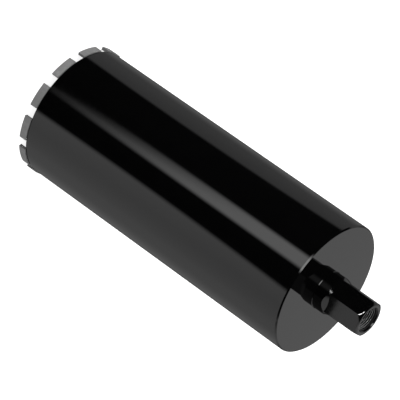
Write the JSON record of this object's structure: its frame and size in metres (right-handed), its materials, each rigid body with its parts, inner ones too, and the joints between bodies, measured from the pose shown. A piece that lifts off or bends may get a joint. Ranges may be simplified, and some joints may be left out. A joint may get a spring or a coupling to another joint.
{
  "type": "diamond core bit",
  "caption": "Wet diamond core bit: a thin steel barrel with a crown of diamond segments, closed by a back plate with a threaded hexagon hub.",
  "frame": {"origin": "on the bit's axis, in the plane of the segment tips that the bit stands on", "axes": "+Z along the bit's axis, from the crown towards the hub; +X through the middle of one segment"},
  "size_m": [0.1524, 0.1524, 0.4229],
  "materials": {
    "paint": "gloss black paint",
    "segment": "bare sintered metal, matt grey"
  },
  "bodies": {
    "root": {"barrel": "paint", "back_plate": "paint", "hub": "paint", "segment_01": "segment", "segment_02": "segment", "segment_03": "segment", "segment_04": "segment", "segment_05": "segment", "segment_06": "segment", "segment_07": "segment", "segment_08": "segment", "segment_09": "segment", "segment_10": "segment", "segment_11": "segment", "segment_12": "segment"}
  },
  "joints": []
}
